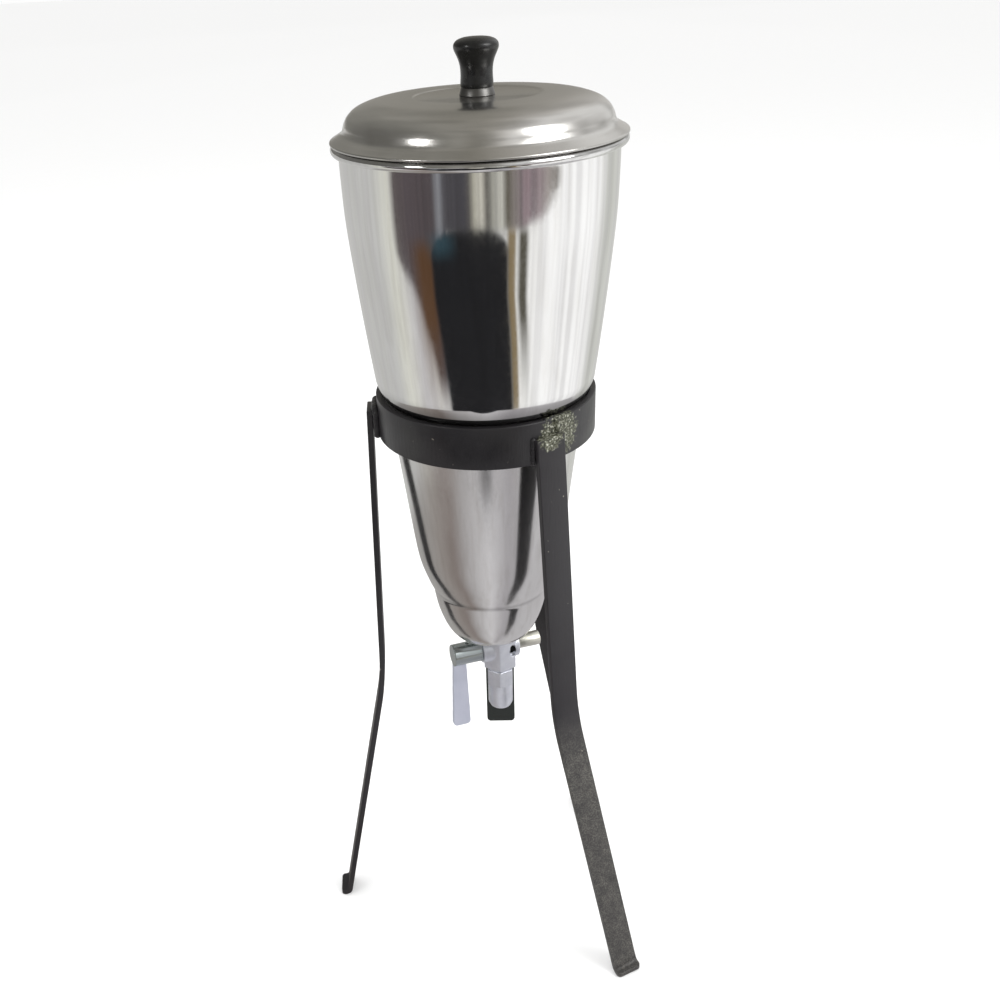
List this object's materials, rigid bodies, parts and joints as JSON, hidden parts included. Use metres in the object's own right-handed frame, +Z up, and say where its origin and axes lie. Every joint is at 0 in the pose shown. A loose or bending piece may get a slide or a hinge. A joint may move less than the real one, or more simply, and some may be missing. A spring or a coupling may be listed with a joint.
{
  "type": "double sieve strainer",
  "caption": "Tall lidded cone vessel of polished sheet with a black knob and inner sieves, hung in a hoop stand on bent flat-bar legs, with a lever tap below.",
  "frame": {"origin": "on the floor, under the centre line of the hoop and vessel", "axes": "+Z up; the front leg stands to the front right, at +X and -Y; the tap lever is on the -X side"},
  "size_m": [0.2995, 0.2552, 0.8285],
  "materials": {
    "frame_paint": "semi-gloss black enamel over flat steel bar, chipped, crackled on the lower legs",
    "vessel_aluminium": "spun and polished to a near mirror, faint vertical draw marks",
    "lid_aluminium": "spun, satin polish with faint rings",
    "knob_plastic": "glossy moulded phenolic",
    "tap_casting": "fine grey casting, lightly polished",
    "tap_brass": "pale machined brass, dulled",
    "plate_plastic": "smooth dark moulding",
    "sieve_steel": "bright rolled strip and woven wire",
    "fastener_steel": "zinc plated",
    "seal_rubber": "matt"
  },
  "bodies": {
    "stand": {"stand_hoop": "frame_paint", "leg_front": "frame_paint", "leg_left": "frame_paint", "leg_rear": "frame_paint", "weld_beads": "frame_paint"},
    "vessel": {"vessel": "vessel_aluminium", "outlet_nut": "tap_brass", "seal_inner": "seal_rubber", "seal_outer": "seal_rubber", "tap_body": "tap_casting", "spout": "tap_casting", "back_plate": "plate_plastic", "back_plate_screw": "fastener_steel"},
    "tap_handle": {"tap_plug": "tap_brass", "tap_lever": "tap_casting", "lever_pin": "fastener_steel", "plug_washer": "fastener_steel", "plug_nut": "tap_brass"},
    "fine_sieve": {"fine_hoop": "sieve_steel", "fine_mesh": "sieve_steel", "fine_grips": "sieve_steel"},
    "coarse_sieve": {"coarse_hoop": "sieve_steel", "coarse_mesh": "sieve_steel", "coarse_grips": "sieve_steel"},
    "lid": {"lid_shell": "lid_aluminium", "knob_collar": "lid_aluminium", "knob": "knob_plastic", "knob_screw": "fastener_steel", "knob_washer": "fastener_steel"}
  },
  "joints": [
    {"name": "vessel_lift", "type": "slide", "parent": "stand", "child": "vessel", "axis": [0, 0, 1], "range_m": [0, 0.38]},
    {"name": "fine_sieve_lift", "type": "slide", "parent": "vessel", "child": "fine_sieve", "axis": [0, 0, 1], "range_m": [0, 0.15]},
    {"name": "coarse_sieve_lift", "type": "slide", "parent": "fine_sieve", "child": "coarse_sieve", "axis": [0, 0, 1], "range_m": [0, 0.11]},
    {"name": "lid_lift", "type": "slide", "parent": "coarse_sieve", "child": "lid", "axis": [0, 0, 1], "range_m": [0, 0.08]},
    {"name": "tap_turn", "type": "hinge", "parent": "vessel", "child": "tap_handle", "pos_m": [0.007, 0, 0.302], "axis": [-0.9426, -0.3338, 0], "range_deg": [0, 90]}
  ]
}
